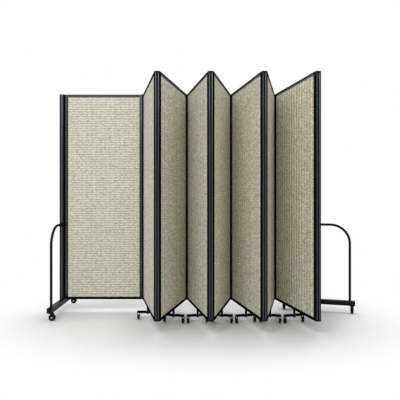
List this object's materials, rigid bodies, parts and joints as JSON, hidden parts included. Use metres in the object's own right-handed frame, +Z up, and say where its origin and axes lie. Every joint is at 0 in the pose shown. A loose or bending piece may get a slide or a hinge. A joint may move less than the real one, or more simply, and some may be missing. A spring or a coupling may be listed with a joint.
{
  "type": "accordion folding partition",
  "caption": "Free-standing room divider of hinged fabric panels folded in a zigzag on small wheeled feet, with a castered arched frame across each end.",
  "frame": {"origin": "middle of the folded part's outline on the floor", "axes": "+X along the partition from the flat first panel to the last fold, -Y towards the ridges at the front, +Z up"},
  "size_m": [2.063, 0.7934, 1.524],
  "materials": {
    "frame": "satin",
    "fabric": "matte",
    "hinge": "satin",
    "end_frame": "satin",
    "running_gear": "satin",
    "wheel": "matte"
  },
  "bodies": {
    "panel_1": {"panel_frame_1": "frame", "infill_1": "fabric"},
    "panel_2": {"panel_frame_2": "frame", "infill_2": "fabric"},
    "panel_3": {"panel_frame_3": "frame", "infill_3": "fabric"},
    "panel_4": {"panel_frame_4": "frame", "infill_4": "fabric"},
    "panel_5": {"panel_frame_5": "frame", "infill_5": "fabric"},
    "panel_6": {"panel_frame_6": "frame", "infill_6": "fabric"},
    "panel_7": {"panel_frame_7": "frame", "infill_7": "fabric"},
    "panel_8": {"panel_frame_8": "frame", "infill_8": "fabric"},
    "panel_9": {"panel_frame_9": "frame", "infill_9": "fabric"},
    "hinge_1": {"hinge_link_1": "hinge"},
    "hinge_2": {"hinge_link_2": "hinge"},
    "hinge_3": {"hinge_link_3": "hinge"},
    "hinge_4": {"hinge_link_4": "hinge"},
    "hinge_5": {"hinge_link_5": "hinge"},
    "hinge_6": {"hinge_link_6": "hinge"},
    "hinge_7": {"hinge_link_7": "hinge"},
    "hinge_8": {"hinge_link_8": "hinge"},
    "foot_2": {"foot_2": "running_gear"},
    "foot_wheel_2a": {"foot_wheel_2a": "wheel"},
    "foot_wheel_2b": {"foot_wheel_2b": "wheel"},
    "foot_3": {"foot_3": "running_gear"},
    "foot_wheel_3a": {"foot_wheel_3a": "wheel"},
    "foot_wheel_3b": {"foot_wheel_3b": "wheel"},
    "foot_4": {"foot_4": "running_gear"},
    "foot_wheel_4a": {"foot_wheel_4a": "wheel"},
    "foot_wheel_4b": {"foot_wheel_4b": "wheel"},
    "foot_5": {"foot_5": "running_gear"},
    "foot_wheel_5a": {"foot_wheel_5a": "wheel"},
    "foot_wheel_5b": {"foot_wheel_5b": "wheel"},
    "foot_6": {"foot_6": "running_gear"},
    "foot_wheel_6a": {"foot_wheel_6a": "wheel"},
    "foot_wheel_6b": {"foot_wheel_6b": "wheel"},
    "foot_7": {"foot_7": "running_gear"},
    "foot_wheel_7a": {"foot_wheel_7a": "wheel"},
    "foot_wheel_7b": {"foot_wheel_7b": "wheel"},
    "foot_8": {"foot_8": "running_gear"},
    "foot_wheel_8a": {"foot_wheel_8a": "wheel"},
    "foot_wheel_8b": {"foot_wheel_8b": "wheel"},
    "end_frame_left": {"end_frame_left": "end_frame", "arches_left": "end_frame"},
    "caster_left_a": {"caster_fork_left_a": "running_gear"},
    "caster_wheel_left_a": {"caster_wheel_left_a": "wheel"},
    "caster_left_b": {"caster_fork_left_b": "running_gear"},
    "caster_wheel_left_b": {"caster_wheel_left_b": "wheel"},
    "end_frame_right": {"end_frame_right": "end_frame", "arches_right": "end_frame"},
    "caster_right_a": {"caster_fork_right_a": "running_gear"},
    "caster_wheel_right_a": {"caster_wheel_right_a": "wheel"},
    "caster_right_b": {"caster_fork_right_b": "running_gear"},
    "caster_wheel_right_b": {"caster_wheel_right_b": "wheel"}
  },
  "joints": [
    {"name": "fold_1_near", "type": "hinge", "parent": "panel_2", "child": "hinge_1", "pos_m": [-0.43535, 0.13598, 0], "axis": [0, 0, -1], "range_deg": [-37.7, 37.7]},
    {"name": "fold_1_far", "type": "hinge", "parent": "hinge_1", "child": "panel_1", "pos_m": [-0.44927, 0.14674, 0], "axis": [0, 0, -1], "range_deg": [-37.7, 37.7]},
    {"name": "fold_2_near", "type": "hinge", "parent": "panel_3", "child": "hinge_2", "pos_m": [-0.28133, -0.38774, 0], "axis": [0, 0, 1], "range_deg": [0, 75.4]},
    {"name": "fold_2_far", "type": "hinge", "parent": "hinge_2", "child": "panel_2", "pos_m": [-0.29893, -0.38774, 0], "axis": [0, 0, 1], "range_deg": [0, 75.4]},
    {"name": "fold_3_near", "type": "hinge", "parent": "panel_4", "child": "hinge_3", "pos_m": [-0.12731, 0.13598, 0], "axis": [0, 0, -1], "range_deg": [0, 75.4]},
    {"name": "fold_3_far", "type": "hinge", "parent": "hinge_3", "child": "panel_3", "pos_m": [-0.14491, 0.13598, 0], "axis": [0, 0, -1], "range_deg": [0, 75.4]},
    {"name": "fold_4_near", "type": "hinge", "parent": "panel_5", "child": "hinge_4", "pos_m": [0.02671, -0.38774, 0], "axis": [0, 0, 1], "range_deg": [0, 75.4]},
    {"name": "fold_4_far", "type": "hinge", "parent": "hinge_4", "child": "panel_4", "pos_m": [0.00911, -0.38774, 0], "axis": [0, 0, 1], "range_deg": [0, 75.4]},
    {"name": "fold_5_near", "type": "hinge", "parent": "panel_5", "child": "hinge_5", "pos_m": [0.16313, 0.13598, 0], "axis": [0, 0, 1], "range_deg": [0, 75.4]},
    {"name": "fold_5_far", "type": "hinge", "parent": "hinge_5", "child": "panel_6", "pos_m": [0.18073, 0.13598, 0], "axis": [0, 0, 1], "range_deg": [0, 75.4]},
    {"name": "fold_6_near", "type": "hinge", "parent": "panel_6", "child": "hinge_6", "pos_m": [0.31715, -0.38774, 0], "axis": [0, 0, -1], "range_deg": [0, 75.4]},
    {"name": "fold_6_far", "type": "hinge", "parent": "hinge_6", "child": "panel_7", "pos_m": [0.33475, -0.38774, 0], "axis": [0, 0, -1], "range_deg": [0, 75.4]},
    {"name": "fold_7_near", "type": "hinge", "parent": "panel_7", "child": "hinge_7", "pos_m": [0.47117, 0.13598, 0], "axis": [0, 0, 1], "range_deg": [0, 75.4]},
    {"name": "fold_7_far", "type": "hinge", "parent": "hinge_7", "child": "panel_8", "pos_m": [0.48877, 0.13598, 0], "axis": [0, 0, 1], "range_deg": [0, 75.4]},
    {"name": "fold_8_near", "type": "hinge", "parent": "panel_8", "child": "hinge_8", "pos_m": [0.62519, -0.38774, 0], "axis": [0, 0, -1], "range_deg": [0, 75.4]},
    {"name": "fold_8_far", "type": "hinge", "parent": "hinge_8", "child": "panel_9", "pos_m": [0.64279, -0.38774, 0], "axis": [0, 0, -1], "range_deg": [0, 75.4]},
    {"name": "end_hinge_left", "type": "hinge", "parent": "panel_1", "child": "end_frame_left", "pos_m": [-0.99047, 0.14674, 0], "axis": [0, 0, 1], "range_deg": [-85, 85]},
    {"name": "end_hinge_right", "type": "hinge", "parent": "panel_9", "child": "end_frame_right", "pos_m": [0.77921, 0.13598, 0], "axis": [0, 0, 1], "range_deg": [-85, 85]},
    {"name": "caster_swivel_left_a", "type": "hinge", "parent": "end_frame_left", "child": "caster_left_a", "pos_m": [-1.01397, 0.37674, 0.053], "axis": [0, 0, 1], "continuous": true},
    {"name": "caster_swivel_left_b", "type": "hinge", "parent": "end_frame_left", "child": "caster_left_b", "pos_m": [-1.01397, -0.08326, 0.053], "axis": [0, 0, 1], "continuous": true},
    {"name": "caster_swivel_right_a", "type": "hinge", "parent": "end_frame_right", "child": "caster_right_a", "pos_m": [1.00771, 0.10075, 0.053], "axis": [0, 0, 1], "continuous": true},
    {"name": "caster_swivel_right_b", "type": "hinge", "parent": "end_frame_right", "child": "caster_right_b", "pos_m": [0.56256, 0.2167, 0.053], "axis": [0, 0, 1], "continuous": true},
    {"name": "foot_swivel_2", "type": "hinge", "parent": "panel_2", "child": "foot_2", "pos_m": [-0.3862, -0.05272, 0.048], "axis": [0, 0, 1], "continuous": true},
    {"name": "foot_swivel_3", "type": "hinge", "parent": "panel_3", "child": "foot_3", "pos_m": [-0.21312, -0.12588, 0.048], "axis": [0, 0, 1], "continuous": true},
    {"name": "foot_swivel_4", "type": "hinge", "parent": "panel_4", "child": "foot_4", "pos_m": [-0.0591, -0.12588, 0.048], "axis": [0, 0, 1], "continuous": true},
    {"name": "foot_swivel_5", "type": "hinge", "parent": "panel_5", "child": "foot_5", "pos_m": [0.09492, -0.12588, 0.048], "axis": [0, 0, 1], "continuous": true},
    {"name": "foot_swivel_6", "type": "hinge", "parent": "panel_6", "child": "foot_6", "pos_m": [0.24894, -0.12588, 0.048], "axis": [0, 0, 1], "continuous": true},
    {"name": "foot_swivel_7", "type": "hinge", "parent": "panel_7", "child": "foot_7", "pos_m": [0.40296, -0.12588, 0.048], "axis": [0, 0, 1], "continuous": true},
    {"name": "foot_swivel_8", "type": "hinge", "parent": "panel_8", "child": "foot_8", "pos_m": [0.55698, -0.12588, 0.048], "axis": [0, 0, 1], "continuous": true},
    {"name": "caster_roll_left_a", "type": "hinge", "parent": "caster_left_a", "child": "caster_wheel_left_a", "pos_m": [-1.00297, 0.37674, 0.022], "axis": [0, -1, 0], "continuous": true},
    {"name": "caster_roll_left_b", "type": "hinge", "parent": "caster_left_b", "child": "caster_wheel_left_b", "pos_m": [-1.00297, -0.08326, 0.022], "axis": [0, -1, 0], "continuous": true},
    {"name": "caster_roll_right_a", "type": "hinge", "parent": "caster_right_a", "child": "caster_wheel_right_a", "pos_m": [1.00493, 0.0901, 0.022], "axis": [-0.9677, 0.2521, 0], "continuous": true},
    {"name": "caster_roll_right_b", "type": "hinge", "parent": "caster_right_b", "child": "caster_wheel_right_b", "pos_m": [0.55979, 0.20605, 0.022], "axis": [-0.9677, 0.2521, 0], "continuous": true},
    {"name": "foot_roll_2a", "type": "hinge", "parent": "foot_2", "child": "foot_wheel_2a", "pos_m": [-0.4482, -0.04672, 0.016], "axis": [1, 0, 0], "continuous": true},
    {"name": "foot_roll_2b", "type": "hinge", "parent": "foot_2", "child": "foot_wheel_2b", "pos_m": [-0.3242, -0.04672, 0.016], "axis": [1, 0, 0], "continuous": true},
    {"name": "foot_roll_3a", "type": "hinge", "parent": "foot_3", "child": "foot_wheel_3a", "pos_m": [-0.2716, -0.10445, 0.016], "axis": [0.9677, -0.2521, 0], "continuous": true},
    {"name": "foot_roll_3b", "type": "hinge", "parent": "foot_3", "child": "foot_wheel_3b", "pos_m": [-0.15161, -0.1357, 0.016], "axis": [0.9677, -0.2521, 0], "continuous": true},
    {"name": "foot_roll_4a", "type": "hinge", "parent": "foot_4", "child": "foot_wheel_4a", "pos_m": [-0.12061, -0.1357, 0.016], "axis": [0.9677, 0.2521, 0], "continuous": true},
    {"name": "foot_roll_4b", "type": "hinge", "parent": "foot_4", "child": "foot_wheel_4b", "pos_m": [-0.00061, -0.10445, 0.016], "axis": [0.9677, 0.2521, 0], "continuous": true},
    {"name": "foot_roll_5a", "type": "hinge", "parent": "foot_5", "child": "foot_wheel_5a", "pos_m": [0.03644, -0.10445, 0.016], "axis": [0.9677, -0.2521, 0], "continuous": true},
    {"name": "foot_roll_5b", "type": "hinge", "parent": "foot_5", "child": "foot_wheel_5b", "pos_m": [0.15643, -0.1357, 0.016], "axis": [0.9677, -0.2521, 0], "continuous": true},
    {"name": "foot_roll_6a", "type": "hinge", "parent": "foot_6", "child": "foot_wheel_6a", "pos_m": [0.18743, -0.1357, 0.016], "axis": [0.9677, 0.2521, 0], "continuous": true},
    {"name": "foot_roll_6b", "type": "hinge", "parent": "foot_6", "child": "foot_wheel_6b", "pos_m": [0.30743, -0.10445, 0.016], "axis": [0.9677, 0.2521, 0], "continuous": true},
    {"name": "foot_roll_7a", "type": "hinge", "parent": "foot_7", "child": "foot_wheel_7a", "pos_m": [0.34448, -0.10445, 0.016], "axis": [0.9677, -0.2521, 0], "continuous": true},
    {"name": "foot_roll_7b", "type": "hinge", "parent": "foot_7", "child": "foot_wheel_7b", "pos_m": [0.46447, -0.1357, 0.016], "axis": [0.9677, -0.2521, 0], "continuous": true},
    {"name": "foot_roll_8a", "type": "hinge", "parent": "foot_8", "child": "foot_wheel_8a", "pos_m": [0.49547, -0.1357, 0.016], "axis": [0.9677, 0.2521, 0], "continuous": true},
    {"name": "foot_roll_8b", "type": "hinge", "parent": "foot_8", "child": "foot_wheel_8b", "pos_m": [0.61547, -0.10445, 0.016], "axis": [0.9677, 0.2521, 0], "continuous": true}
  ],
  "couplings": [
    {"joint": "fold_1_far", "follows": "fold_1_near", "ratio": 1},
    {"joint": "fold_2_far", "follows": "fold_2_near", "ratio": 1},
    {"joint": "fold_3_far", "follows": "fold_3_near", "ratio": 1},
    {"joint": "fold_4_far", "follows": "fold_4_near", "ratio": 1},
    {"joint": "fold_5_far", "follows": "fold_5_near", "ratio": 1},
    {"joint": "fold_6_far", "follows": "fold_6_near", "ratio": 1},
    {"joint": "fold_7_far", "follows": "fold_7_near", "ratio": 1},
    {"joint": "fold_8_far", "follows": "fold_8_near", "ratio": 1}
  ]
}
